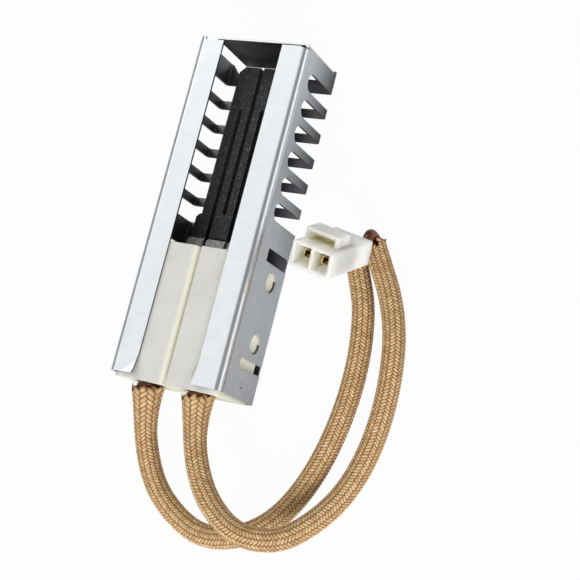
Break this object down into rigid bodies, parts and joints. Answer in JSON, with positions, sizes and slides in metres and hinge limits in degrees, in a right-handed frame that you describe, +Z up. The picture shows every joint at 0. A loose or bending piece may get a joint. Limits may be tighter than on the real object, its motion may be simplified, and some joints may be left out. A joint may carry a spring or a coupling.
{
  "type": "hot surface igniter",
  "caption": "Flat silicon carbide hot surface igniter in a slotted folded metal cage, with a ceramic block, braided high-temperature leads and a two-way plug.",
  "frame": {"origin": "middle of the base, on the plane of the cage's flat back, under the cage and its block without the loose leads", "axes": "+X across the cage, +Y along it toward the free end of the heating element, +Z up, out of the open window; the leads leave toward -Y"},
  "size_m": [0.0775, 0.1366, 0.0313],
  "materials": {
    "cage_metal": "satin, bright coated sheet",
    "block_ceramic": "matt, fine grained",
    "element_carbide": "matt, speckled",
    "cement": "rough, grey",
    "terminal_metal": "plain",
    "varnish": "glossy brown varnish",
    "lead_braid": "braided glass fibre sleeve, lacquered",
    "plug_plastic": "off-white, smooth",
    "contact_brass": "plain"
  },
  "bodies": {
    "root": {"cage": "cage_metal", "insulator_block": "block_ceramic", "heating_element": "element_carbide", "element_cement": "cement", "foot_terminal_left": "terminal_metal", "foot_terminal_right": "terminal_metal", "exit_wire_left": "varnish", "exit_wire_right": "varnish", "lead_left": "lead_braid", "lead_right": "lead_braid", "plug_wire_left": "varnish", "plug_wire_right": "varnish", "plug_housing": "plug_plastic", "plug_terminal_left": "contact_brass", "plug_terminal_right": "contact_brass"}
  },
  "joints": []
}
